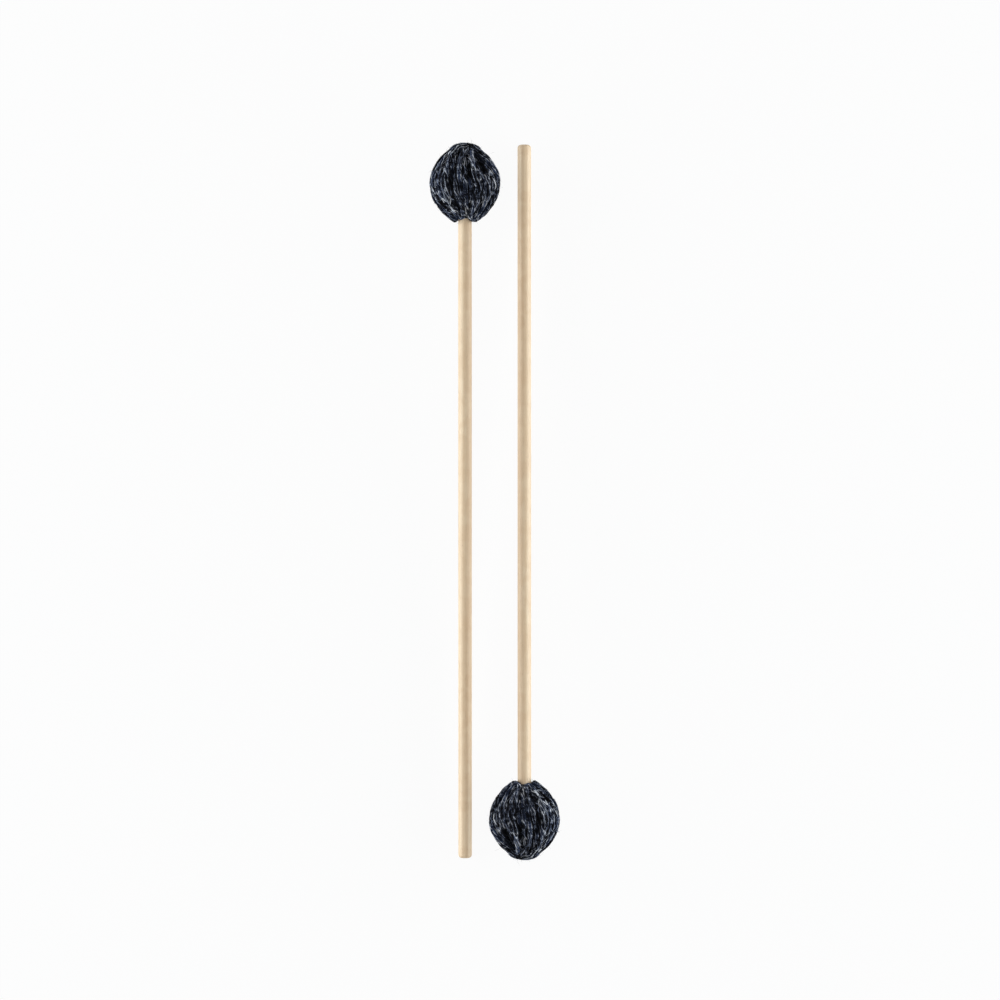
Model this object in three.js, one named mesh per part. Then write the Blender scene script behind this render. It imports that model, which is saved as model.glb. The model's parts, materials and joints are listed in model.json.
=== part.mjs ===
import * as THREE from 'three';

// A pair of yarn-wound marimba mallets lying side by side, head to tail, on a flat surface.
// Millimetres, +Z up, +Y towards the left mallet's crown. The origin is under the middle of the pair.

// The pair

const malletLength = 419; // butt face to the flat of the crown
const axisSpacing = 34.7; // from one shaft's axis to the other's
const stagger = 0.6; // how far each crown lies past the other mallet's butt
const fitGap = 0.3; // left between pieces that touch

// Shaft, a plain dowel with a rounded butt

const shaftDiameter = 7.94;
const buttRounding = 2;
const tipChamfer = 1;
const shaftSides = 24;
const buttSteps = 4;

// Core, a moulded rubber ball with flattened poles and a blind bore for the shaft

const coreDiameter = 24;
const coreHeight = 18;
const coreFlatDiameter = 13;
const boreEndWall = 3;
const coreSides = 24;
const coreSteps = 8;

// Stitching thread

const threadDiameter = 1;
const threadSides = 6;
const threadSteps = 20;

// Winding: one yarn goes up a side of the head, over the crown, down the other side and round the collar

const headDiameter = 40.9; // over the yarn, at the widest ring
const crownRise = 24.5; // from the widest ring up to the flat of the crown
const collarDrop = 21.9; // from the widest ring down to the lowest bights
const strandGap = 0.57; // air between neighbouring strands
const underPasses = 3; // strands that cross the crown first, side by side
const overPasses = 4; // strands that cross over them at right angles
const tracks = 3; // every third strand lies on top, and the two between it dive under it at the poles
const crownPowerShare = 4 / 3; // of the cosine that draws the upper half in to the crown
const collarPowerShare = 5 / 3; // and of the lower half, in to the collar
const layerEaseShare = 0.12; // how much further apart the layers lie at the poles, of the strands' spacing
const lean = THREE.MathUtils.degToRad(10); // how far round the head a strand leans from collar to crown
const outerBightTilt = THREE.MathUtils.degToRad(40); // of the collar's bights, from level
const innerBightTilt = THREE.MathUtils.degToRad(15);
const latitudes = [-32, -14, 0, 17, 38].map(THREE.MathUtils.degToRad); // where a strand has its points
const bightSteps = 4;
const yarnSides = 5;
const windingSides = 28;
const settlingPasses = 4;
const halvings = 40;
const gapSampleShare = 0.15; // spacing of the points that measure the winding's own gap, of the yarn

// Sizes that follow from these

const shaftRadius = shaftDiameter / 2;
const boreRadius = shaftRadius + fitGap;
const threadRadius = threadDiameter / 2;
const headRadius = headDiameter / 2;
const ringPlace = malletLength - crownRise; // of the head's widest ring, from the butt
const coreTop = coreHeight / 2;
const boreEnd = coreTop - boreEndWall;
const trackStrands = 2 * (underPasses + overPasses);
const trackStep = (2 * Math.PI) / trackStrands;
const strandStep = trackStep / tracks;
const yarnDiameter = (strandStep * headRadius - strandGap) / (1 + strandStep / 2);
const yarnRadius = yarnDiameter / 2;
const lieRadius = headRadius - yarnRadius; // of the strands' centre lines, at the widest ring
const lay = yarnDiameter + strandGap; // spacing of two strands' centre lines

// The crown: heights of its two ribbons, and the bights under them, which let their neighbours pass

const overHeight = crownRise - yarnRadius;
const underHeight = overHeight - lay;
const underMeet = lay / Math.sin(trackStep); // where an outer strand turns into the under ribbon
const crownBightWidth = lay * (1 + layerEaseShare / 2);
const crownBightRadius = crownBightWidth / 2 / Math.sin(trackStep / 2);
const crownBightTip = crownBightRadius * Math.cos(trackStep / 2) - crownBightWidth / 2;

// The collar: the outer bights reach in to the stitching, and the inner ones to the shaft

const stitchRadius = boreRadius + threadRadius;
const outerBightTip = stitchRadius + threadRadius + fitGap + yarnRadius;
const innerBightTip = boreRadius + yarnRadius;
const outerBightRadius = bightRadius(outerBightTip, outerBightTilt);
const innerBightRadius = bightRadius(innerBightTip, innerBightTilt);
const lowestBight = collarDrop - yarnRadius;
const outerBightHeight = lowestBight - outerBightRadius * Math.sin(trackStep / 2) * Math.sin(outerBightTilt);

// Poles of the two curves that the outermost strands lie on, which make them reach those places

const crownPole = poleThrough(underMeet, underHeight, crownPowerShare);
const collarPole = poleThrough(outerBightRadius, outerBightHeight, collarPowerShare);

// Where the two legs of a round bight end, for a bight whose tip lies at a radius

function bightRadius(tip, tilt) {
  return tip / (Math.cos(trackStep / 2) - Math.sin(trackStep / 2) * Math.cos(tilt));
}

function poleThrough(radius, height, power) {
  return height / Math.sqrt(1 - (radius / lieRadius) ** (2 / power));
}

// A point of the head by its radius, its height over the widest ring and its place round the axis

function pointAt(radius, height, azimuth) {
  return new THREE.Vector3(radius * Math.cos(azimuth), height, radius * Math.sin(azimuth));
}

// Radius and height of a strand at a latitude of the head, for each layer from 0, the outermost.
// Where the head narrows, strands no longer fit side by side, and each layer lies deeper by what is missing.

function lieAt(latitude, layer) {
  const [pole, power] = latitude < 0 ? [collarPole, collarPowerShare] : [crownPole, crownPowerShare];
  const narrowing = Math.cos(latitude);
  const rising = Math.sin(latitude);
  const lie = new THREE.Vector2(lieRadius * narrowing ** power, pole * rising);
  const outward = new THREE.Vector2(pole * narrowing, lieRadius * power * narrowing ** (power - 1) * rising);
  outward.normalize();
  const apart = lay * (1 + layerEaseShare * Math.sqrt(Math.abs(rising)));
  for (let under = 1; under <= layer; under += 1) {
    let dive = 0;
    for (let pass = 0; pass < settlingPasses; pass += 1) {
      const sideways = strandStep ** 2 * lie.x * (lie.x - dive * outward.x);
      dive = Math.sqrt(Math.max(0, apart ** 2 - sideways));
    }
    lie.addScaledVector(outward, -dive);
  }
  return lie;
}

// Latitude at which a layer has narrowed to a radius, towards the crown (1) or the collar (-1)

function latitudeAt(radius, layer, end) {
  let wide = 0;
  let narrow = Math.PI / 2;
  for (let pass = 0; pass < halvings; pass += 1) {
    const middle = (wide + narrow) / 2;
    if (lieAt(end * middle, layer).x > radius) wide = middle;
    else narrow = middle;
  }
  return end * wide;
}

// Radii and heights along a strand, from the collar to the crown

function strandLies(layer, collarRadius, crownRadius) {
  const first = latitudeAt(collarRadius, layer, -1);
  const last = latitudeAt(crownRadius, layer, 1);
  return [first, ...latitudes, last].map((latitude) => lieAt(latitude, layer));
}

function strandPoints(layer, azimuth, collarRadius, crownRadius) {
  return strandLies(layer, collarRadius, crownRadius).map((lie) => pointAt(lie.x, lie.y, azimuth));
}

// A bight: the half turn from one strand's end into the next one's, in towards the axis

function bightPoints(from, to, tip, tilt) {
  const middle = from.clone().add(to).multiplyScalar(1 / 2);
  const reach = from.clone().sub(middle);
  const depth = Math.hypot(middle.x, middle.z) - tip;
  const inward = new THREE.Vector3(-middle.x, 0, -middle.z).setLength(depth);
  inward.y = -depth * Math.tan(tilt);
  const points = [];
  for (let step = 1; step < bightSteps; step += 1) {
    const turn = (Math.PI * step) / bightSteps;
    const point = middle.clone().addScaledVector(reach, Math.cos(turn));
    points.push(point.addScaledVector(inward, Math.sin(turn)));
  }
  return points;
}

// An inner track goes up and down round the head, with a bight at each end of each strand

function innerTrack(layer) {
  const points = [];
  for (let count = 0; count < trackStrands; count += 1) {
    const azimuth = -layer * strandStep - (count + layer - 3 / 2) * trackStep;
    const strand = strandPoints(layer, azimuth, innerBightRadius, crownBightRadius);
    const downwards = count % 2 === 1;
    if (downwards) strand.reverse();
    const [tip, tilt] = downwards ? [crownBightTip, 0] : [innerBightTip, innerBightTilt];
    if (count > 0) points.push(...bightPoints(points.at(-1), strand[0], tip, tilt));
    points.push(...strand);
  }
  return points;
}

// The outermost strands cross the crown. Those nearest the X axis bend over the outermost under passes.

const ribbonEdge = (lay * (underPasses - 1)) / 2;
const bendShare = Math.tan(Math.PI / 8);
const overShoulder = ribbonEdge + 2 * lay;
const overBends = [
  [ribbonEdge + lay, underHeight + lay * bendShare],
  [ribbonEdge + lay * bendShare, overHeight],
];

// Strands between one and the end of the X axis nearest to it

function strandsFromX(azimuth) {
  return Math.asin(Math.sin(azimuth)) / trackStep;
}

function isOver(azimuth) {
  return Math.abs(strandsFromX(azimuth)) < overPasses / 2;
}

function outerStrand(azimuth) {
  if (!isOver(azimuth)) return strandPoints(0, azimuth, outerBightRadius, underMeet);
  const points = strandPoints(0, azimuth, outerBightRadius, overShoulder);
  const side = Math.sign(Math.cos(azimuth));
  for (const [along, height] of overBends) {
    points.push(new THREE.Vector3(side * along, height, strandsFromX(azimuth) * lay));
  }
  return points;
}

// The strand that a pass comes down by, straight across the crown from the one that it goes up by

function strandAcross(strand) {
  const across = isOver((strand + 1 / 2) * trackStep) ? trackStrands / 2 : 0;
  return (across - 1 - strand + 2 * trackStrands) % trackStrands;
}

function outerTrack() {
  const points = [];
  let strand = 1;
  for (let pass = 0; pass < trackStrands / 2; pass += 1) {
    const across = strandAcross(strand);
    const up = outerStrand((strand + 1 / 2) * trackStep);
    const down = outerStrand((across + 1 / 2) * trackStep).reverse();
    if (pass > 0) points.push(...bightPoints(points.at(-1), up[0], outerBightTip, outerBightTilt));
    points.push(...up, ...down);
    strand = across + (pass % 2 === 0 ? -1 : 1);
  }
  return points;
}

// Each end of the yarn is tucked in square: the first to the shaft, and the last to the collar stitching

function tuckedEnd(strandEnd, faceRadius, height) {
  const azimuth = Math.atan2(strandEnd.z, strandEnd.x);
  return [faceRadius + yarnDiameter, faceRadius].map((radius) => pointAt(radius, height, azimuth));
}

// The yarn's centre line from end to end, which leans round the head more and more with its height

function windingPath() {
  const deep = innerTrack(2);
  const middle = innerTrack(1);
  const outer = outerTrack();
  const path = [
    ...tuckedEnd(deep[0], boreRadius, deep[0].y).reverse(),
    ...deep,
    ...bightPoints(deep.at(-1), middle[0], innerBightTip, innerBightTilt),
    ...middle,
    ...bightPoints(middle.at(-1), outer[0], outerBightTip, outerBightTilt),
    ...outer,
    ...tuckedEnd(outer.at(-1), outerBightTip - yarnRadius, -lowestBight),
  ];
  const axis = new THREE.Vector3(0, 1, 0);
  path.forEach((point) => point.applyAxisAngle(axis, (lean * point.y) / (crownRise + collarDrop)));
  return path;
}

// Least air between two stretches of the yarn, from closely spaced points of its centre line.
// Points that are closer along the yarn than half a turn of the tightest bight are on the same stretch.

function leastSelfGap(path) {
  const points = [];
  const places = [];
  let travelled = 0;
  for (let index = 1; index < path.length; index += 1) {
    const length = path[index].distanceTo(path[index - 1]);
    const count = Math.ceil(length / (gapSampleShare * yarnDiameter));
    for (let step = 0; step < count; step += 1) {
      points.push(path[index - 1].clone().lerp(path[index], step / count));
      places.push(travelled + (length * step) / count);
    }
    travelled += length;
  }
  const sameStretch = (Math.PI * lay) / 2;
  let least = Infinity;
  for (let first = 0; first < points.length; first += 1) {
    for (let second = first + 1; second < points.length; second += 1) {
      if (places[second] - places[first] < sameStretch) continue;
      least = Math.min(least, points[first].distanceToSquared(points[second]));
    }
  }
  return { gap: Math.sqrt(least) - yarnDiameter, length: travelled };
}

// One closed tube along the path, each section with a corner that faces straight out of the head

function yarnTube(path) {
  const corners = [];
  const faces = [];
  path.forEach((point, index) => {
    const before = path[Math.max(index - 1, 0)];
    const after = path[Math.min(index + 1, path.length - 1)];
    const incoming = point.clone().sub(before).normalize();
    const along = after.clone().sub(point).normalize().add(incoming).normalize();
    const outward = point.clone().addScaledVector(along, -point.dot(along)).normalize();
    const sideways = new THREE.Vector3().crossVectors(along, outward);
    for (let side = 0; side < yarnSides; side += 1) {
      const turn = (2 * Math.PI * side) / yarnSides;
      const corner = point.clone().addScaledVector(outward, yarnRadius * Math.cos(turn));
      corner.addScaledVector(sideways, yarnRadius * Math.sin(turn)).toArray(corners, corners.length);
    }
    if (index === 0) return;
    const ring = index * yarnSides;
    for (let side = 0; side < yarnSides; side += 1) {
      const next = (side + 1) % yarnSides;
      faces.push(ring - yarnSides + side, ring - yarnSides + next, ring + next);
      faces.push(ring - yarnSides + side, ring + next, ring + side);
    }
  });
  const lastRing = (path.length - 1) * yarnSides;
  for (let side = 1; side < yarnSides - 1; side += 1) {
    faces.push(0, side + 1, side);
    faces.push(lastRing, lastRing + side, lastRing + side + 1);
  }
  const geometry = new THREE.BufferGeometry();
  geometry.setAttribute('position', new THREE.Float32BufferAttribute(corners, 3));
  geometry.setIndex(faces);
  geometry.computeVertexNormals();
  return geometry;
}

// An outline moved inwards by a distance, with its corners kept sharp

function insetOutline(points, distance) {
  const normals = points.slice(1).map((point, index) => {
    const along = point.clone().sub(points[index]).normalize();
    return new THREE.Vector2(-along.y, along.x);
  });
  return points.map((point, index) => {
    const before = normals[Math.max(index - 1, 0)];
    const after = normals[Math.min(index, normals.length - 1)];
    const corner = before.clone().add(after);
    return point.clone().addScaledVector(corner, (2 * distance) / corner.lengthSq());
  });
}

// The ball's outline from its lower pole to its upper one, grown all over by a margin

function coreOutline(margin) {
  const flat = coreFlatDiameter / 2 + margin;
  const points = [];
  for (let step = 0; step <= coreSteps; step += 1) {
    const latitude = Math.PI * (step / coreSteps - 1 / 2);
    const radius = flat + (coreDiameter / 2 + margin - flat) * Math.cos(latitude);
    points.push(new THREE.Vector2(radius, (coreTop + margin) * Math.sin(latitude)));
  }
  return points;
}

// Shaft: the butt's round edge, the plain length and the chamfered tip that goes into the core

function shaftGeometry() {
  const tip = ringPlace + boreEnd - fitGap;
  const outline = [new THREE.Vector2(0, 0)];
  for (let step = 0; step <= buttSteps; step += 1) {
    const turn = (Math.PI / 2) * (step / buttSteps);
    const radius = shaftRadius - buttRounding * (1 - Math.sin(turn));
    outline.push(new THREE.Vector2(radius, buttRounding * (1 - Math.cos(turn))));
  }
  outline.push(new THREE.Vector2(shaftRadius, tip - tipChamfer));
  outline.push(new THREE.Vector2(shaftRadius - tipChamfer, tip));
  outline.push(new THREE.Vector2(0, tip));
  return new THREE.LatheGeometry(outline, shaftSides);
}

function coreGeometry() {
  const outline = [
    new THREE.Vector2(0, boreEnd),
    new THREE.Vector2(boreRadius, boreEnd),
    new THREE.Vector2(boreRadius, -coreTop),
    ...coreOutline(0),
    new THREE.Vector2(0, coreTop),
  ];
  return new THREE.LatheGeometry(outline, coreSides);
}

// Under winding: the plain body of inner yarn, from the core out to the deepest strands of the outer winding.
// The crown stitch ties a knot of it, which stands up among the bights as far as the strands over it.

const deepLies = strandLies(tracks - 1, innerBightRadius, crownBightRadius);
const crownFaceHeight = deepLies.at(-1).y - yarnRadius - fitGap;
const crownStitchRadius = crownBightTip - yarnRadius - fitGap - threadRadius;
const knotRadius = crownStitchRadius - threadRadius - fitGap;
const knotTop = underHeight - yarnRadius - fitGap;

function underWindingGeometry() {
  const collarFace = new THREE.Vector2(boreRadius, deepLies[0].y);
  const crownFace = new THREE.Vector2(0, deepLies.at(-1).y);
  const body = insetOutline([collarFace, ...deepLies, crownFace], yarnRadius + fitGap);
  const outline = [
    new THREE.Vector2(0, coreTop + fitGap),
    ...coreOutline(fitGap).reverse(),
    new THREE.Vector2(boreRadius, -coreTop - fitGap),
    ...body.slice(0, -1),
    new THREE.Vector2(knotRadius, crownFaceHeight),
    new THREE.Vector2(knotRadius, knotTop),
    new THREE.Vector2(0, knotTop),
  ];
  return new THREE.LatheGeometry(outline, windingSides);
}

function threadRing(radius, height) {
  const geometry = new THREE.TorusGeometry(radius, threadRadius, threadSides, threadSteps);
  return geometry.rotateX(Math.PI / 2).translate(0, height, 0);
}

const path = windingPath();
const measured = leastSelfGap(path);
const windingText = `${(trackStrands * tracks) / 2} loops of ${yarnDiameter.toFixed(2)} mm yarn`;
console.log(`Outer winding: ${windingText}, ${measured.length.toFixed(0)} mm in one piece`);
console.log(`Least gap of the winding to itself: ${measured.gap.toFixed(2)} mm`);

const birch = new THREE.MeshStandardMaterial({ color: 0xddc6a8, roughness: 0.45 });
const rubber = new THREE.MeshStandardMaterial({ color: 0x2c2b2a, roughness: 0.8 });
const innerYarn = new THREE.MeshStandardMaterial({ color: 0x1d1f24, roughness: 1 });
const outerYarn = new THREE.MeshStandardMaterial({ color: 0x2a2d35, roughness: 1 });
const thread = new THREE.MeshStandardMaterial({ color: 0x111215, roughness: 0.9 });

// One mallet along Y, butt at the origin. It lies on its head and on its butt's lower edge.

const slope = Math.atan((headRadius - shaftRadius) / (ringPlace - buttRounding));
const lift = shaftRadius * Math.cos(slope) - buttRounding * Math.sin(slope);

function makeMallet(side) {
  const crownStitchHeight = crownFaceHeight + fitGap + threadRadius;
  const pieces = [
    ['core', coreGeometry(), rubber],
    ['under_winding', underWindingGeometry(), innerYarn],
    ['outer_winding', yarnTube(path), outerYarn],
    ['crown_stitch', threadRing(crownStitchRadius, crownStitchHeight), thread],
    ['collar_stitch', threadRing(stitchRadius, -lowestBight), thread],
  ];
  const head = new THREE.Group();
  head.position.y = ringPlace;
  for (const [name, geometry, material] of pieces) {
    const mesh = new THREE.Mesh(geometry, material);
    mesh.name = `${side}_${name}`;
    head.add(mesh);
  }
  const shaft = new THREE.Mesh(shaftGeometry(), birch);
  shaft.name = `${side}_shaft`;
  const mallet = new THREE.Group();
  mallet.add(shaft, head);
  mallet.rotation.x = slope;
  mallet.position.set(-axisSpacing / 2, (stagger - malletLength) / 2, lift);
  return mallet;
}

// The right mallet is the same, turned half round

const pair = new THREE.Group();
const turned = new THREE.Group();
turned.rotation.z = Math.PI;
turned.add(makeMallet('right'));
pair.add(makeMallet('left'), turned);

export default pair;
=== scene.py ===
import json
import math

import bmesh
import bpy
import numpy as np
from mathutils import Matrix, Vector

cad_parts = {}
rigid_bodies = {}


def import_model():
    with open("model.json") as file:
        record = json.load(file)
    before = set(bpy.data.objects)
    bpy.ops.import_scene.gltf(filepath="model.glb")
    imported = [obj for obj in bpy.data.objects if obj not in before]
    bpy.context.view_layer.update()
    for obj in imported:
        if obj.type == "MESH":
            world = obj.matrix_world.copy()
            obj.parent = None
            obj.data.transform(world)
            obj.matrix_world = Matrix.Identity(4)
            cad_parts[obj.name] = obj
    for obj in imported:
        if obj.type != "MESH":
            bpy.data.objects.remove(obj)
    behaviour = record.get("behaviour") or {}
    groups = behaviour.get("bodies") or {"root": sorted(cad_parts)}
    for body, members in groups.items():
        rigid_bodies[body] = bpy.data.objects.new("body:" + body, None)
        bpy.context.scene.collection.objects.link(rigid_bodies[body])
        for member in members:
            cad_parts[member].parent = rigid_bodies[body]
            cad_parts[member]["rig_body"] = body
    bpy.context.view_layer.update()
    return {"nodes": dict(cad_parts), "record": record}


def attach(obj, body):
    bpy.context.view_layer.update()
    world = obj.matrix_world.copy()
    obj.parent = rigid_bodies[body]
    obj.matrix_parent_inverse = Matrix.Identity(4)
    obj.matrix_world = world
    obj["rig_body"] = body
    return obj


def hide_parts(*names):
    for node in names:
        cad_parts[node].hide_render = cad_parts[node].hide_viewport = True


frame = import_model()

# The pair: two mallets alike, lying side by side and head to tail. Each lies on its head and on
# its butt, so that its shaft rises a little towards the head. A mallet is modelled once, with its
# butt's face at the origin and its shaft along Y, and each piece of it is then copied to both places.

mm = 0.001
butts = {mount["name"]: mount for mount in frame["record"]["mounts"]}


def mallet_place(side):
    """Where one mallet lies, from the butt's mount: the mallet's own X, Y and Z, and its origin."""
    butt = butts[side + "_butt_face"]
    along = -Vector(butt["axis"])
    across = along.cross((0, 0, 1)).normalized()
    place = Matrix((across, along, across.cross(along))).transposed().to_4x4()
    place.translation = butt["pos_m"]
    return place


places = {side: mallet_place(side) for side in ("left", "right")}


def lay_out(piece, name, slot_name, *nodes):
    """Makes both mallets' copies of a piece that stands at the origin, in place of their CAD nodes."""
    for side, place in places.items():
        copy = bpy.data.objects.new(f"{side}_{name}", piece.data.copy())
        copy.data.transform(piece.matrix_world)
        copy.data.transform(place)
        copy.data.name = copy.name
        bpy.context.collection.objects.link(copy)
        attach(copy, side + "_mallet")
        if nodes:
            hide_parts(*(f"{side}_{node}" for node in nodes))
    bpy.data.objects.remove(piece)


# Shafts: plain birch dowels, 5/16 inch thick, turned and sanded, with the butt's edge rounded over
# by hand and a clear satin lacquer. The tip is glued into the head's core.

shaft_radius = 3.97 * mm
shaft_length = 400.2 * mm
shaft_sides = 64
butt_rounding, butt_steps = 2 * mm, 8
tip_chamfer, tip_steps = 1 * mm, 2
round_edge = math.radians(30)  # edges that are flatter than this look round
touching = 0.001 * mm  # what is closer than this is at the same place

# The birch's patterns, in repeats to a millimetre across the shaft, along it and through it, and how
# strongly each of them shows on the one before. Real fibres are 0.02 mm wide and real pores 0.08 mm, too
# fine to show, so both are drawn coarser.
ring_repeats, ring_turn = (0.55, 0.006, 0.3), (0, 0.5, 0)
fibre_repeats, fibre_strength = (5, 0.09, 5), 0.45
pore_repeats, pore_strength = (4, 0.45, 4), 0.35
ripple_repeats, ripple_turn, ripple_strength = (0.12, 0.11, 0.12), (0.2, 0, 0.3), 0.5
grain_depth = 0.04 * mm


def hex_colour(text):
    """A linear colour from an sRGB hex value."""
    shares = [int(text[place:place + 2], 16) / 255 for place in (1, 3, 5)]
    return [s / 12.92 if s <= 0.04045 else ((s + 0.055) / 1.055) ** 2.4 for s in shares] + [1]


def new_material(name):
    """A material and its shader."""
    material = bpy.data.materials.new(name)
    material.use_nodes = True
    return material, material.node_tree.nodes["Principled BSDF"]


def add_node(owner, kind, links=None, values=None, **settings):
    """Adds a node to a material or the world, with its settings, values and the sockets that feed it."""
    node = owner.node_tree.nodes.new("ShaderNode" + kind)
    for name, setting in settings.items():
        setattr(node, name, setting)
    for key, value in (values or {}).items():
        node.inputs[key].default_value = value
    for key, source in (links or {}).items():
        owner.node_tree.links.new(source, node.inputs[key])
    return node


def set_ramp(node, stops):
    """Gives a colour ramp its stops, each a place and a hex colour."""
    ramp = node.color_ramp
    while len(ramp.elements) < len(stops):
        ramp.elements.new(1)
    for element, (place, text) in zip(ramp.elements, stops):
        element.position = place
        element.color = hex_colour(text)


def birch(side):
    """Lacquered birch: pale, close and straight in the grain, so that the shaft looks plain from afar."""
    material, shader = new_material(f"{side} lacquered birch")
    back = places[side].inverted()
    where = add_node(material, "TexCoord").outputs["Object"]
    turned = add_node(
        material, "Mapping", {"Vector": where},
        {"Location": back.to_translation(), "Rotation": back.to_euler()})
    in_mm = add_node(
        material, "VectorMath", {0: turned.outputs[0]}, {1: (1 / mm, 1 / mm, 1 / mm)}, operation="MULTIPLY")

    # Year rings: soft lengthwise bands of early and late wood, about 2 mm apart, a shade apart.
    rings = add_node(
        material, "Mapping", {"Vector": in_mm.outputs[0]}, {"Rotation": ring_turn, "Scale": ring_repeats})
    bands = add_node(
        material, "TexNoise", {"Vector": rings.outputs[0]}, {"Scale": 1, "Detail": 3, "Roughness": 0.55})
    banded = add_node(material, "ValToRGB", {0: bands.outputs[0]})
    set_ramp(banded, [(0.3, "#cfb28c"), (0.5, "#d9be99"), (0.72, "#e2cba8")])

    # Fibres: fine streaks, about 0.2 mm wide and 11 mm long, which keep the wood from looking like plastic.
    fibres = add_node(material, "Mapping", {"Vector": in_mm.outputs[0]}, {"Scale": fibre_repeats})
    streaks = add_node(
        material, "TexNoise", {"Vector": fibres.outputs[0]}, {"Scale": 1, "Detail": 4, "Roughness": 0.6})
    streaked = add_node(material, "ValToRGB", {0: streaks.outputs[0]})
    set_ramp(streaked, [(0.3, "#d9d2c8"), (0.55, "#ffffff")])
    fine = add_node(
        material, "Mix", {6: banded.outputs[0], 7: streaked.outputs[0]}, {0: fibre_strength},
        data_type="RGBA", blend_type="MULTIPLY")

    # Pores: short brown dashes, about 0.25 mm wide and 2 mm long, seen only from close by.
    pored = add_node(material, "Mapping", {"Vector": in_mm.outputs[0]}, {"Scale": pore_repeats})
    pores = add_node(material, "TexNoise", {"Vector": pored.outputs[0]}, {"Scale": 1, "Detail": 1})
    pitted = add_node(material, "ValToRGB", {0: pores.outputs[0]})
    set_ramp(pitted, [(0.24, "#a98a66"), (0.34, "#ffffff")])
    dotted = add_node(
        material, "Mix", {6: fine.outputs[2], 7: pitted.outputs[0]}, {0: pore_strength},
        data_type="RGBA", blend_type="MULTIPLY")

    # Ripple: the faint warm clouds, about 8 mm across, that tell birch from maple or beech.
    rippled = add_node(
        material, "Mapping", {"Vector": in_mm.outputs[0]}, {"Rotation": ripple_turn, "Scale": ripple_repeats})
    ripple = add_node(
        material, "TexNoise", {"Vector": rippled.outputs[0]}, {"Scale": 1, "Detail": 2, "Distortion": 0.6})
    figured = add_node(material, "ValToRGB", {0: ripple.outputs[0]})
    set_ramp(figured, [(0.35, "#efe3d3"), (0.6, "#ffffff")])
    figure = add_node(
        material, "Mix", {6: dotted.outputs[2], 7: figured.outputs[0]}, {0: ripple_strength},
        data_type="RGBA", blend_type="MULTIPLY")

    # Lacquer: a satin coat that pales the shaft's sides with the light of the white table and lamps. Its
    # index is above a real lacquer's 1.5, because those sides are overexposed in the photograph.
    bump = add_node(
        material, "Bump", {"Height": streaks.outputs[0]}, {"Strength": 0.06, "Distance": grain_depth})
    links = material.node_tree.links
    links.new(figure.outputs[2], shader.inputs["Base Color"])
    links.new(bump.outputs[0], shader.inputs["Normal"])
    shader.inputs["Roughness"].default_value = 0.7
    shader.inputs["Coat Weight"].default_value = 1
    shader.inputs["Coat Roughness"].default_value = 0.6
    shader.inputs["Coat IOR"].default_value = 1.8
    return material


def deselect():
    """Leaves edit mode and lets go of everything."""
    if bpy.context.object and bpy.context.object.mode != "OBJECT":
        bpy.ops.object.mode_set(mode="OBJECT")
    bpy.ops.object.select_all(action="DESELECT")


def bevel_end(piece, height, depth, steps):
    """Takes the rim off the flat end that lies at a height of the shaft, to a depth on both faces."""
    bpy.ops.object.mode_set(mode="EDIT")
    bpy.ops.mesh.select_all(action="DESELECT")
    work = bmesh.from_edit_mesh(piece.data)
    for edge in work.edges:
        edge.select = all(abs(corner.co.y - height) < touching for corner in edge.verts)
    bmesh.update_edit_mesh(piece.data)
    bpy.ops.mesh.bevel(
        offset=depth * math.sqrt(2), offset_type="WIDTH", segments=steps, profile=0.5, affect="EDGES")
    bpy.ops.object.mode_set(mode="OBJECT")


deselect()
bpy.ops.mesh.primitive_cylinder_add(
    vertices=shaft_sides, radius=shaft_radius, depth=shaft_length,
    location=(0, shaft_length / 2, 0), rotation=(math.pi / 2, 0, 0))
shaft = bpy.context.object
bpy.ops.object.transform_apply(location=True, rotation=True, scale=True)
bevel_end(shaft, 0, butt_rounding, butt_steps)
bevel_end(shaft, shaft_length, tip_chamfer, tip_steps)
bpy.ops.object.shade_smooth_by_angle(angle=round_edge)
lay_out(shaft, "birch_shaft", "birch", "shaft")
for side in places:
    bpy.data.objects[f"{side}_birch_shaft"].data.materials.append(birch(side))

# Cores: solid balls of moulded rubber with a blind bore, in which the shaft's tip is glued. The yarn
# hides them, and they keep their CAD solids. Matt near-black, with the dull bloom of old rubber.

bloom_repeats = 0.4 / mm  # clouds of 2.5 mm
skin_repeats = 3 / mm  # the mould's grain, about 0.3 mm
skin_depth = 0.05 * mm

rubber, shader = new_material("moulded black rubber")
where = add_node(rubber, "TexCoord").outputs["Object"]
bloom = add_node(rubber, "TexNoise", {"Vector": where}, {"Scale": bloom_repeats, "Detail": 3})
mottled = add_node(rubber, "ValToRGB", {0: bloom.outputs[0]})
set_ramp(mottled, [(0.35, "#262524"), (0.7, "#3a3836")])
skin = add_node(rubber, "TexNoise", {"Vector": where}, {"Scale": skin_repeats, "Detail": 2})
bump = add_node(rubber, "Bump", {"Height": skin.outputs[0]}, {"Strength": 0.3, "Distance": skin_depth})
rubber.node_tree.links.new(mottled.outputs[0], shader.inputs["Base Color"])
rubber.node_tree.links.new(bump.outputs[0], shader.inputs["Normal"])
shader.inputs["Roughness"].default_value = 0.72
for side in places:
    core = frame["nodes"][side + "_core"]
    core.data.materials.clear()
    core.data.materials.append(rubber)

# Under windings: the first, tighter layers of dark yarn, wound over the core to build up the head's
# onion form. They run from crown to collar like the outer ones, and show only as ribs in the gaps
# between those. All sizes of the head and its threads are in millimetres from its widest ring.

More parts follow.
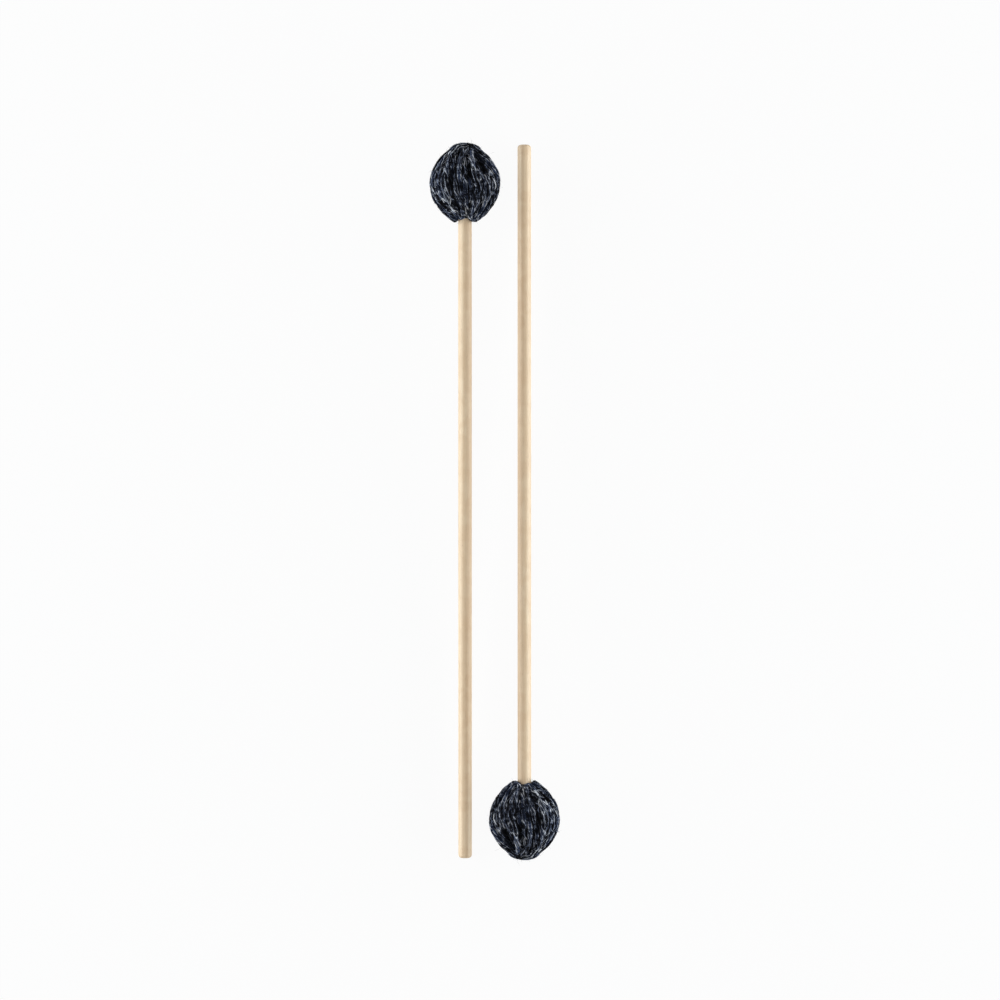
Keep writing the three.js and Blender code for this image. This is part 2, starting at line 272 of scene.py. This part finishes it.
ring_place = 394.5  # of that ring, from the butt
lie_radius = 19.2  # of the outermost strand's middle, there
crown_pole, crown_power = 22.6, 1.22  # how high the head rises towards the crown, and how fast it narrows
collar_pole, collar_power = 24.0, 5 / 3  # the same towards the collar
layer_depth = 2.2
under_latitudes = (-52, -38, -24, -10, 4, 18, 32, 46, 58)
under_depth, under_inset = 2.6, 1.2  # in layers under the outermost strands, and in millimetres under that
under_collar = (4.2, -17.2)  # radius and height, as in the three lines that follow
under_crown = ((3.0, 17.6), (0, 17.9))
core_side = ((0, 9.3), (6.8, 9.3), (11, 6.2), (12.3, 0), (11, -6.2), (6.8, -9.3), (4.2, -9.3))
core_room = (13, 9.5)  # what lies within this is the hollow for the core, without ribs
rib_count = 42
rib_rise = 0.7
rib_start, rib_full = 5, 14  # radii where a rib begins, and where it is at its full rise


def strand_lie(latitude, depth):
    """Radius and height of a strand's middle at a latitude of the head, at a depth in layers."""
    narrow, rise = math.cos(latitude), math.sin(latitude)
    pole, power = (crown_pole, crown_power) if rise > 0 else (collar_pole, collar_power)
    radius, height = lie_radius * narrow ** power, pole * rise
    outward = np.array([pole * narrow, lie_radius * power * narrow ** (power - 1) * rise])
    outward /= np.linalg.norm(outward)
    sunk = depth * layer_depth * math.sqrt(max(0, 1 - (radius / lie_radius) ** 2))
    return np.array([radius, height]) - sunk * outward


def under_winding():
    """Half the outline, spun round the shaft, with every other column of corners raised to a rib."""
    lies = [strand_lie(math.radians(degrees), under_depth) for degrees in under_latitudes]
    outline = [*core_side, under_collar]
    outline += [(radius - under_inset, height) for radius, height in lies]
    outline += under_crown
    corners = [(radius * mm, height * mm, 0) for radius, height in outline]
    mesh = bpy.data.meshes.new("under_winding")
    mesh.from_pydata(corners, [(i, i + 1) for i in range(len(corners) - 1)], [])
    piece = bpy.data.objects.new("under_winding", mesh)
    bpy.context.collection.objects.link(piece)
    deselect()
    bpy.context.view_layer.objects.active = piece
    piece.select_set(True)
    bpy.ops.object.mode_set(mode="EDIT")
    bpy.ops.mesh.select_all(action="SELECT")
    bpy.ops.mesh.spin(steps=2 * rib_count, angle=2 * math.pi, center=(0, 0, 0), axis=(0, 1, 0))
    bpy.ops.mesh.select_all(action="SELECT")
    bpy.ops.mesh.remove_doubles(threshold=touching)
    bpy.ops.mesh.normals_make_consistent(inside=False)
    bpy.ops.object.mode_set(mode="OBJECT")
    ribs = bmesh.new()
    ribs.from_mesh(piece.data)
    for corner in ribs.verts:
        radius = math.hypot(corner.co.x, corner.co.z) / mm
        column = round(math.atan2(corner.co.z, corner.co.x) / (math.pi / rib_count))
        outside = radius > core_room[0] or abs(corner.co.y) > core_room[1] * mm
        if outside and radius > rib_start and column % 2 == 0:
            grown = (radius + rib_rise * min(1, radius / rib_full)) / radius
            corner.co.x *= grown
            corner.co.z *= grown
        corner.co.y += ring_place * mm
    ribs.to_mesh(piece.data)
    ribs.free()
    smoothing = piece.modifiers.new("rounded ribs", "SUBSURF")
    smoothing.levels = smoothing.render_levels = 1
    bpy.ops.object.modifier_apply(modifier=smoothing.name)
    bpy.ops.object.shade_smooth()
    return piece


# Dark matt yarn with faint lengthwise fluff, so that the gaps between the outer strands look deep.

fluff_repeats = (2.6 / mm, 0.26 / mm, 2.6 / mm)  # streaks of 0.4 by 4 mm, coarser than real fluff to show
fluff_depth = 0.2 * mm
inner_wool, shader = new_material("dark inner yarn")
where = add_node(inner_wool, "TexCoord").outputs["Object"]
strands = add_node(inner_wool, "Mapping", {"Vector": where}, {"Scale": fluff_repeats})
fluff = add_node(inner_wool, "TexNoise", {"Vector": strands.outputs[0]}, {"Scale": 1, "Detail": 3})
tone = add_node(inner_wool, "ValToRGB", {0: fluff.outputs[0]})
set_ramp(tone, [(0.35, "#0b0c10"), (0.7, "#23262e")])
bump = add_node(inner_wool, "Bump", {"Height": fluff.outputs[0]}, {"Strength": 0.6, "Distance": fluff_depth})
inner_wool.node_tree.links.new(tone.outputs[0], shader.inputs["Base Color"])
inner_wool.node_tree.links.new(bump.outputs[0], shader.inputs["Normal"])
shader.inputs["Roughness"].default_value = 0.95
inner = under_winding()
inner.data.materials.append(inner_wool)
lay_out(inner, "inner_yarn", "inner_yarn", "under_winding")

# Outer windings: one length of soft yarn, two black plies and a navy one that are loosely twisted, with
# five thin pale threads round them. It goes up a side of the head, over the crown and down the other
# side, turns back at the collar in a tight bight, and goes on beside itself, for 21 passes in all.

crown_rise, collar_drop = 24.5, 21.9
yarn_radius = 1.5
twist_pitch = 32  # of yarn to a turn of its plies
point_spacing = 1.0  # of the yarn's rings of corners
yarn_plies = (
    # share of a turn, distance from the yarn's middle, radius, wander in radians, sides, wool
    (0, 0.7, 0.84, 0.2, 6, 0),
    (1 / 3, 0.7, 0.84, 0.2, 6, 1),
    (2 / 3, 0.7, 0.84, 0.2, 6, 0),
    (0.1, 1.28, 0.22, 0.6, 5, 2),
    (0.3, 1.28, 0.22, 0.6, 5, 2),
    (0.5, 1.28, 0.22, 0.6, 5, 2),
    (0.7, 1.28, 0.22, 0.6, 5, 2),
    (0.9, 1.28, 0.22, 0.6, 5, 2),
)
rounds = 3
round_passes = 7
pass_turn = math.pi / round_passes
strand_turn = pass_turn / rounds
first_azimuth = 0.06
lean = math.radians(10)  # round the shaft, from collar to crown

pass_latitudes = (-50, -38, -20, 0, 17, 33, 47, 58)
strand_wander, strand_swell = math.radians(0.7), 0.14  # by chance, at each latitude
crown_places = (-3.4, 3.0, -1.4, 3.8, -2.6, 1.8, -0.8)  # of each pass beside the crown's middle
crown_stray = 0.6  # by chance, to either side of that
crown_reach = 13  # radius where a pass begins to move over to its place
crown_step = 0.3  # each pass crosses the crown this much above the one before
crown_corner, corner_step, corner_drop = 5.8, 0.3, 0.6  # radius, less by layer, and drop from the crossing
lobe_lift, lobe_start, lobe_depth = 1.8, 8, 11  # of the front at the collar, and where that sets in

bight_latitude = -56
bight_tip, bight_step = 5.7, 0.1  # nearest to the shaft's middle, and how much nearer each layer comes
bight_drops = (0.1, 1.5)  # how far a bight hangs down, by chance
bight_shares = ((0.08, 0.3), (0.25, 0.8), (0.5, 1), (0.75, 0.8), (0.92, 0.3))  # of its turn, of its reach
first_tuck = ((0.55, 1, 0.55), (0.75, 1, 0.75))  # shares of the first place, for the end tucked in there
last_tuck = ((0.85, 1.02, 0.85), (0.66, 1.02, 0.66))
chance = np.random.default_rng(12)


def head_point(radius, height, azimuth, aside=0):
    """A point of the head, its front raised at the collar as the stitches draw it up."""
    low = min(1, max(0, (-height - lobe_start) / lobe_depth))
    height += lobe_lift * math.sin(azimuth) ** 2 * low ** 2
    x, z = math.cos(azimuth), math.sin(azimuth)
    return np.array([radius * x - aside * z, height, radius * z + aside * x])


def pass_points(azimuth, depth, step):
    """One pass from the collar over the crown to the collar on the other side."""
    half = [strand_lie(math.radians(degrees), depth) for degrees in pass_latitudes]
    aside = crown_places[step] * (1 if depth != 1 else -1) + chance.uniform(-crown_stray, crown_stray)
    crown_height = crown_rise - yarn_radius - crown_step * (round_passes - 1 - step) - depth * layer_depth
    half.append(np.array([crown_corner - corner_step * depth, crown_height - corner_drop]))
    points = []
    for turned, lies in ((0, half), (math.pi, half[::-1])):
        wander = chance.normal(0, strand_wander, len(lies))
        for (radius, height), stray in zip(lies, wander):
            shift = aside * max(0, 1 - (radius / crown_reach) ** 2) * (1 if height > 0 else 0)
            shift *= 1 if turned == 0 else -1
            swell = chance.normal(0, strand_swell)
            points.append(head_point(radius + swell, height, azimuth + turned + stray, shift))
        if turned == 0:
            points.append(head_point(0, crown_height, azimuth, aside))
    return points


def bight_points(end, start, depth):
    """The turn at the collar, from one strand's end in towards the shaft and out to the next one."""
    from_azimuth = math.atan2(end[2], end[0])
    turn = (math.atan2(start[2], start[0]) - from_azimuth + math.pi) % (2 * math.pi) - math.pi
    radius, height = strand_lie(math.radians(bight_latitude), depth)
    drop = chance.uniform(*bight_drops)
    points = []
    for along, inward in bight_shares:
        reach = radius + (bight_tip - bight_step * depth - radius) * inward
        points.append(head_point(reach, height - drop * inward, from_azimuth + turn * along))
    return points


def yarn_route():
    """The yarn's middle line from its first tucked end to its last: three rounds of seven passes."""
    route = []
    azimuth = first_azimuth
    for layer in range(rounds):
        depth = rounds - 1 - layer
        for step in range(round_passes):
            points = pass_points(azimuth + step * pass_turn + (0 if step % 2 == 0 else math.pi), depth, step)
            if route:
                route += bight_points(route[-1], points[0], depth)
            route += points
        azimuth += (2 * round_passes + 1) * pass_turn + strand_turn
    first_end = [route[0] * share for share in first_tuck]
    last_end = [route[-1] * share for share in last_tuck]
    route = np.array(first_end + route + last_end)
    turn = lean * route[:, 1] / (crown_rise + collar_drop)
    x = route[:, 0] * np.cos(turn) - route[:, 2] * np.sin(turn)
    z = route[:, 0] * np.sin(turn) + route[:, 2] * np.cos(turn)
    return np.stack([x, route[:, 1], z], axis=1)


def smooth_line(points, spacing):
    """A rounded line through points, with evenly spaced points of its own and their marks along it."""
    steps, least = 10, 1e-9
    before = np.vstack([points[:1], points[:-1]])
    after = np.vstack([points[1:], points[-1:]])
    slopes = (after - before) / 2
    shares = np.linspace(0, 1, steps, endpoint=False)[:, None]
    pieces = []
    for index in range(len(points) - 1):
        a, b = points[index], points[index + 1]
        reach = np.linalg.norm(b - a)
        out = slopes[index] / max(np.linalg.norm(slopes[index]), least) * reach
        into = slopes[index + 1] / max(np.linalg.norm(slopes[index + 1]), least) * reach
        square, cube = shares ** 2, shares ** 3
        pieces.append((2 * cube - 3 * square + 1) * a + (cube - 2 * square + shares) * out
                      + (3 * square - 2 * cube) * b + (cube - square) * into)
    line = np.vstack(pieces + [points[-1:]])
    travelled = np.concatenate([[0], np.cumsum(np.linalg.norm(np.diff(line, axis=0), axis=1))])
    marks = np.linspace(0, travelled[-1], round(travelled[-1] / spacing) + 1)
    return np.stack([np.interp(marks, travelled, line[:, axis]) for axis in range(3)], axis=1), marks


def unit(vectors):
    """The same directions, each of length 1."""
    return vectors / np.linalg.norm(vectors, axis=1, keepdims=True)


def directions(line):
    """For each point of a line: its direction, the way out of the head, and the way across both."""
    along = unit(np.gradient(line, axis=0))
    outward = unit(line - along * np.sum(line * along, axis=1, keepdims=True))
    return along, outward, np.cross(along, outward)


def tube(line, radii, sides, marks, outward, across):
    """Corners, faces and pattern places of a closed round tube along a line."""
    turns = math.pi + np.linspace(0, 2 * math.pi, sides, endpoint=False)
    ring = outward[:, None] * np.cos(turns)[None, :, None] + across[:, None] * np.sin(turns)[None, :, None]
    corners = (line[:, None] + ring * radii[:, None, None]).reshape(-1, 3)
    faces, spots = [], []
    for index in range(len(line) - 1):
        here, there = index * sides, (index + 1) * sides
        for side in range(sides):
            after = (side + 1) % sides
            faces.append((here + side, here + after, there + after, there + side))
            low, high = side / sides, (side + 1) / sides
            spots += [(marks[index], low), (marks[index], high)]
            spots += [(marks[index + 1], high), (marks[index + 1], low)]
    last = (len(line) - 1) * sides
    faces.append(tuple(range(sides - 1, -1, -1)))
    faces.append(tuple(range(last, last + sides)))
    spots += [(marks[0], 0)] * sides + [(marks[-1], 0)] * sides
    return corners, faces, spots


def make_mesh(name, parts):
    """One object out of tubes, each with the number of its material."""
    corners, faces, spots, numbers = [], [], [], []
    for number, (part_corners, part_faces, part_spots) in parts:
        first = sum(len(some) for some in corners)
        corners.append(part_corners)
        faces += [tuple(first + corner for corner in face) for face in part_faces]
        spots += part_spots
        numbers += [number] * len(part_faces)
    mesh = bpy.data.meshes.new(name)
    mesh.from_pydata(np.vstack(corners) * mm + (0, ring_place * mm, 0), [], faces)
    mesh.uv_layers.new(name="along_and_round")
    mesh.uv_layers[0].data.foreach_set("uv", np.array(spots, dtype=np.float32).ravel())
    mesh.polygons.foreach_set("material_index", numbers)
    mesh.polygons.foreach_set("use_smooth", [True] * len(faces))
    mesh.update()
    piece = bpy.data.objects.new(name, mesh)
    bpy.context.collection.objects.link(piece)
    return piece


# The wool's patterns, in repeats to a millimetre along a ply and to a turn round it: fibres in streaks
# of about 0.4 by 1.2 mm, patches of marl of about 2.4 mm, and a slow drift over about 30 mm of yarn. Real
# fibres are 0.03 mm wide, too fine to show, so a streak stands for a lock of them.
wool_fibre_repeats, wool_fibre_turn, wool_fibre_depth = (0.8, 12, 1), (0, 0, 0.05), 0.15 * mm
wool_patch_repeats = (0.42, 0.8, 1)
wool_drift_repeats = (0.03, 0.01, 1)


def marled_wool(name, dark, middle, light):
    """Spun wool: matt, streaked along its fibres, and marled with darker and paler wool.

    The marl comes and goes every few millimetres, which breaks the pale threads up into short flecks.
    """
    material, shader = new_material(name)
    spot = add_node(material, "UVMap", uv_map="along_and_round").outputs[0]
    skewed = add_node(
        material, "Mapping", {"Vector": spot}, {"Rotation": wool_fibre_turn, "Scale": wool_fibre_repeats})
    fibres = add_node(
        material, "TexNoise", {"Vector": skewed.outputs[0]}, {"Scale": 1, "Detail": 3, "Roughness": 0.7},
        noise_dimensions="2D")
    patchy = add_node(material, "Mapping", {"Vector": spot}, {"Scale": wool_patch_repeats})
    patches = add_node(
        material, "TexNoise", {"Vector": patchy.outputs[0]}, {"Scale": 1, "Detail": 2},
        noise_dimensions="2D")
    drawn_out = add_node(material, "Mapping", {"Vector": spot}, {"Scale": wool_drift_repeats})
    drift = add_node(
        material, "TexNoise", {"Vector": drawn_out.outputs[0]}, {"Scale": 1, "Detail": 1},
        noise_dimensions="2D")
    coarse = add_node(material, "Math", {0: patches.outputs[0], 1: drift.outputs[0]}, operation="ADD")
    marl = add_node(material, "Math", {0: coarse.outputs[0], 1: fibres.outputs[0]}, operation="ADD")
    third = add_node(material, "Math", {0: marl.outputs[0]}, {1: 1 / 3}, operation="MULTIPLY")
    tone = add_node(material, "ValToRGB", {0: third.outputs[0]})
    set_ramp(tone, [(0.43, dark), (0.51, middle), (0.6, light)])
    bump = add_node(
        material, "Bump", {"Height": fibres.outputs[0]}, {"Strength": 0.8, "Distance": wool_fibre_depth})
    links = material.node_tree.links
    links.new(tone.outputs[0], shader.inputs["Base Color"])
    links.new(bump.outputs[0], shader.inputs["Normal"])
    shader.inputs["Roughness"].default_value = 0.9
    shader.inputs["Specular IOR Level"].default_value = 0.05
    shader.inputs["Sheen Weight"].default_value = 0.03
    shader.inputs["Sheen Roughness"].default_value = 0.4
    return material


wools = [
    marled_wool("black spun wool", "#040406", "#0f1014", "#2c2f38"),
    marled_wool("navy spun wool", "#080a10", "#1a2132", "#434f69"),
    marled_wool("pale grey spun wool", "#0f1116", "#757f97", "#f7faff"),
]


def uneven(marks, spacing, middle, spread):
    """A value that changes softly along a yarn, and by chance, once in each spacing."""
    values = chance.normal(middle, spread, int(marks[-1] / spacing) + 2)
    before = (marks / spacing).astype(int)
    share = marks / spacing - before
    share = share ** 2 * (3 - 2 * share)
    return values[before] * (1 - share) + values[before + 1] * share


def plied_yarn(line, marks, pitch, plies):
    """The plies of a twisted yarn, laid round its middle line, none of them quite evenly."""
    outward, across = directions(line)[1:]
    slow = uneven(marks, spacing=20, middle=0, spread=0.5)
    parts = []
    for share, away, radius, stray, sides, number in plies:
        turn = 2 * math.pi * (share - marks / pitch) + slow
        turn += uneven(marks, spacing=3.2, middle=0, spread=stray)
        reach = away * uneven(marks, spacing=3, middle=1, spread=0.07)
        middle = line + reach[:, None] * (outward * np.cos(turn)[:, None] + across * np.sin(turn)[:, None])
        thickness = uneven(marks, spacing=3, middle=1, spread=0.06 / radius ** 0.8)
        radii = radius * np.clip(thickness, 0.5, 1.4)
        parts.append((number, tube(middle, radii, sides, marks, *directions(middle)[1:])))
    return parts


line, marks = smooth_line(yarn_route(), point_spacing)
yarn = make_mesh("yarn", plied_yarn(line, marks, twist_pitch, yarn_plies))
for wool in wools:
    yarn.data.materials.append(wool)


def rest_on_table(piece):
    """Presses the soft yarn flat where the head lies on the table."""
    for corner in piece.data.vertices:
        below = (places["left"] @ corner.co).z
        corner.co.z -= min(0, below)


rest_on_table(yarn)
lay_out(yarn, "marled_yarn", "marled_yarn", "outer_winding")

# Loose fibres: hairs of the wool that lie over the yarn along its twist, and short curled ends that
# stand off it. They are drawn two to four times as thick as real ones, which are 0.03 mm, so that they
# still show at this distance.

fibre_sides = 3
hairless, endless = (4, 12), (8, 8)  # points of the yarn's line at its two ends without any
hair_count, hair_points, hair_radius = 4500, 4, 0.06
hair_spread, hair_slant = 1.5, 0.9  # radians round the yarn, either way: its place, and its turn in its run
hair_sink, hair_lift = 0.12, 0.25
hair_wools = (0, 1, 2, 2, 2)
end_count, end_points, end_radius = 900, 7, 0.035
end_spread = 1.4
end_root = 0.9  # share of the yarn's radius at which an end starts
end_ways = ((-1.5, 1.5), (0.1, 0.7), (-1, 1))  # along the yarn, out of it and across it
end_curl, end_wave = 0.7, 0.25
end_lengths = (0.6, 2.2)


def loose_fibres():
    """The hairs along the yarn and the ends that stand off it, clear of the yarn's own two ends."""
    along, outward, across = directions(line)
    parts = []
    for first in chance.integers(hairless[0], len(line) - hairless[1], hair_count):
        spots = first + np.arange(hair_points)
        shares = np.linspace(0, 1, hair_points)
        run = marks[spots] - marks[first]
        turn = chance.uniform(-hair_spread, hair_spread) + shares * chance.uniform(-hair_slant, hair_slant)
        turn -= 2 * math.pi * run / twist_pitch
        reach = yarn_radius - hair_sink + chance.uniform(0, hair_lift) * np.sin(math.pi * shares)
        way_out = outward[spots] * np.cos(turn)[:, None] + across[spots] * np.sin(turn)[:, None]
        middle = line[spots] + reach[:, None] * way_out
        radii = hair_radius * np.sin(math.pi * (0.1 + 0.8 * shares))
        hair = tube(middle, radii, fibre_sides, marks[spots], *directions(middle)[1:])
        parts.append((chance.choice(hair_wools), hair))
    for spot in chance.integers(endless[0], len(line) - endless[1], end_count):
        turn = chance.uniform(-end_spread, end_spread)
        way_out = outward[spot] * math.cos(turn) + across[spot] * math.sin(turn)
        ways = (along[spot], way_out, across[spot])
        lie = sum(way * chance.uniform(*reach) for way, reach in zip(ways, end_ways))
        lie /= np.linalg.norm(lie)
        curl, wave = chance.normal(0, end_curl, 3), chance.normal(0, end_wave, 3)
        length = chance.uniform(*end_lengths)
        shares = np.linspace(0, 1, end_points)[:, None]
        bent = lie * shares + curl * shares ** 2 + wave * np.sin(2 * math.pi * shares)
        middle = line[spot] + way_out * yarn_radius * end_root + bent * length
        radii = np.linspace(end_radius, end_radius / 2, end_points)
        run = marks[spot] + shares[:, 0] * length
        end = tube(middle, radii, fibre_sides, run, *directions(middle)[1:])
        parts.append((chance.integers(0, len(wools)), end))
    return parts


fuzz = make_mesh("fuzz", loose_fibres())
for wool in wools:
    fuzz.data.materials.append(wool)
rest_on_table(fuzz)
lay_out(fuzz, "loose_fibres", "marled_yarn")

# Stitching: waxed thread, two-ply, drawn tight. At the crown it ties the knot of inner yarn, and at
# the collar it goes twice round the shaft, inside the bights of the outer yarn.

thread_plies = ((0, 0.24, 0.27, 0.1, 6, 0), (0.5, 0.24, 0.27, 0.1, 6, 0))  # as in yarn_plies
thread_pitch = 2.4
thread_spacing = 0.35
thread_climb = 1.1  # of the whole stitch, along the shaft
turn_points = 48
stitches = (
    # CAD node, radius, height, turns
    ("crown_stitch", 3.25, 13.0, 2.2),
    ("collar_stitch", 4.6, -18.9, 2.3),
)


def thread_loops(radius, height, turns):
    """The middle line of a thread that is wound round the shaft's axis."""
    shares = np.linspace(0, 1, int(turn_points * turns) + 1)
    angle = 2 * math.pi * turns * shares
    rise = height + thread_climb * (shares - 0.5)
    loops = np.stack([radius * np.cos(angle), rise, radius * np.sin(angle)], axis=1)
    return smooth_line(loops, thread_spacing)


# Black thread, a little smoother and glossier than the wool for its wax.

filament_repeats = (1.5, 10, 1)  # to a millimetre along a ply and a turn round it, coarser than real ones
filament_depth = 0.05 * mm
waxed_thread, shader = new_material("waxed black thread")
spot = add_node(waxed_thread, "UVMap", uv_map="along_and_round").outputs[0]
drawn = add_node(waxed_thread, "Mapping", {"Vector": spot}, {"Scale": filament_repeats})
filaments = add_node(
    waxed_thread, "TexNoise", {"Vector": drawn.outputs[0]}, {"Scale": 1, "Detail": 2}, noise_dimensions="2D")
tone = add_node(waxed_thread, "ValToRGB", {0: filaments.outputs[0]})
set_ramp(tone, [(0.35, "#0c0c0f"), (0.7, "#24252b")])
bump = add_node(
    waxed_thread, "Bump", {"Height": filaments.outputs[0]}, {"Strength": 0.4, "Distance": filament_depth})
waxed_thread.node_tree.links.new(tone.outputs[0], shader.inputs["Base Color"])
waxed_thread.node_tree.links.new(bump.outputs[0], shader.inputs["Normal"])
shader.inputs["Roughness"].default_value = 0.55
for name, radius, height, turns in stitches:
    loops, run = thread_loops(radius, height, turns)
    stitch = make_mesh(name, plied_yarn(loops, run, thread_pitch, thread_plies))
    stitch.data.materials.append(waxed_thread)
    lay_out(stitch, name + "ing", "stitching_thread", name)

# Surface, light and camera: the pair lies on a plain white table between broad soft lamps that stand
# low at either side, seen straight from above through a long lens. The table is pale grey card to the
# light, and nearly white to the camera and to reflections, which leaves only a faint shadow on it.

table_size, table_gap = 6, 0.3 * mm
white_share = 0.93  # of plain white in what the camera sees of the table; the rest holds the shadow
room_light = 0.3  # of the white walls, on the mallets
top_lamp_height, top_lamp_size, top_lamp_power = 2.2, (1.2, 1.2), 5
lamp_distance, lamp_height, lamp_size = 1.6, 0.36, (2.4, 0.6)
side_lamps = (
    # name, side of its mallet (1 for the outer one), watts, colour
    ("outer", 1, 35.5, "#f3fbff"),
    ("inner", -1, 20, "#f9fdff"),
)
picture_width, middle_height = 0.585, 14 * mm  # the picture is that wide at the mallets' middle height
camera_place = (3.1 * mm, 0.8 * mm, 3.4)
sensor_width = 36


def straight_or_mirrored(owner):
    """1 for what the camera sees straight, in gloss or through glass, and 0 for the light on things."""
    rays = add_node(owner, "LightPath").outputs
    either = add_node(
        owner, "Math", {0: rays["Is Camera Ray"], 1: rays["Is Glossy Ray"]}, operation="MAXIMUM")
    any_of = add_node(
        owner, "Math", {0: either.outputs[0], 1: rays["Is Transmission Ray"]}, operation="MAXIMUM")
    return any_of.outputs[0]


white, shader = new_material("plain white table")
shader.inputs["Base Color"].default_value = hex_colour("#d2d2d2")
shader.inputs["Roughness"].default_value = 0.9
shader.inputs["Specular IOR Level"].default_value = 0.1
most = add_node(white, "Math", {0: straight_or_mirrored(white)}, {1: white_share}, operation="MULTIPLY")
glow = add_node(white, "Emission", None, {"Color": (1, 1, 1, 1), "Strength": 1})
mixed = add_node(white, "MixShader", {0: most.outputs[0], 1: shader.outputs[0], 2: glow.outputs[0]})
white.node_tree.links.new(mixed.outputs[0], white.node_tree.nodes["Material Output"].inputs["Surface"])
deselect()
bpy.ops.mesh.primitive_plane_add(size=table_size, location=(0, 0, -table_gap))
table = bpy.context.object
table.name = "table_top"
table.data.materials.append(white)

world = bpy.data.worlds.new("white room")
bpy.context.scene.world = world
world.use_nodes = True
backdrop = world.node_tree.nodes["Background"]
backdrop.inputs["Color"].default_value = (1, 1, 1, 1)
strength = add_node(
    world, "MapRange", {"Value": straight_or_mirrored(world)}, {"To Min": room_light, "To Max": 1})
world.node_tree.links.new(strength.outputs["Result"], backdrop.inputs["Strength"])


def soft_lamp(name, place, size, power, colour):
    """A broad lamp that faces the middle of the pair."""
    data = bpy.data.lights.new(name, "AREA")
    data.shape = "RECTANGLE"
    data.size, data.size_y = size
    data.energy = power
    data.color = hex_colour(colour)[:3]
    lamp = bpy.data.objects.new(name, data)
    lamp.location = place
    lamp.rotation_euler = (-Vector(place)).to_track_quat("-Z", "Y").to_euler()
    bpy.context.collection.objects.link(lamp)
    return lamp


# Each mallet has a stronger lamp on its outer side and a weaker one on its inner side. They light that
# mallet alone, as if it were photographed by itself, so that neither head darkens the shaft beside it.
# Their light is white with a trace of daylight's blue, more of it on the outer side.
soft_lamp("top lamp", (0, 0, top_lamp_height), top_lamp_size, top_lamp_power, "#ffffff")
for side, outward in (("left", -1), ("right", 1)):
    own = bpy.data.collections.new(side + " mallet")
    lit = bpy.data.collections.new(side + " mallet and table")
    lit.objects.link(table)
    for piece in list(bpy.data.objects):
        if piece.get("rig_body") == side + "_mallet":
            own.objects.link(piece)
            lit.objects.link(piece)
    for name, way, power, colour in side_lamps:
        place = (lamp_distance * outward * way, 0, lamp_height)
        lamp = soft_lamp(f"{side} {name} lamp", place, lamp_size, power, colour)
        lamp.light_linking.receiver_collection = lit
        lamp.light_linking.blocker_collection = own

eye = bpy.data.objects.new("camera", bpy.data.cameras.new("camera"))
bpy.context.collection.objects.link(eye)
eye.data.sensor_width = sensor_width
eye.data.lens = sensor_width * (camera_place[2] - middle_height) / picture_width
eye.location = camera_place
eye.data.clip_end = 20
bpy.context.scene.camera = eye
bpy.context.scene.view_settings.view_transform = "Standard"
